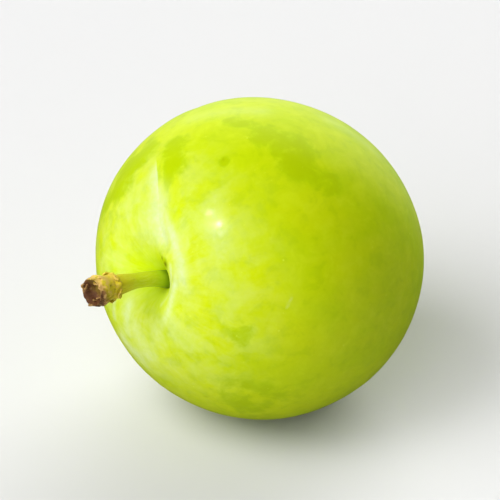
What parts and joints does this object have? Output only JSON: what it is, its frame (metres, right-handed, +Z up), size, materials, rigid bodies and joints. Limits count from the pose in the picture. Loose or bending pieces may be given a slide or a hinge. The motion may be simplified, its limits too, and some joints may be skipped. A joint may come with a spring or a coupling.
{
  "type": "green plum",
  "caption": "Round green plum lying on a small flat spot, with a stem cavity, a suture groove, a short stem and a collar of dried bud scales at its end.",
  "frame": {"origin": "centre of the flat spot that the fruit rests on, on the supporting surface", "axes": "+Z up, -Y the way the stem points along the surface, so that +Y runs from the stem side to the blossom end, +X to the right of a viewer who faces the stem"},
  "size_m": [0.0376, 0.0453, 0.0375],
  "materials": {
    "skin": "satin yellow-green skin with a thin waxy bloom",
    "stem": "matt green stem",
    "dried_scales": "rough brown dried scales"
  },
  "bodies": {
    "root": {"fruit": "skin", "stem": "stem", "bud_scales": "dried_scales"}
  },
  "joints": []
}
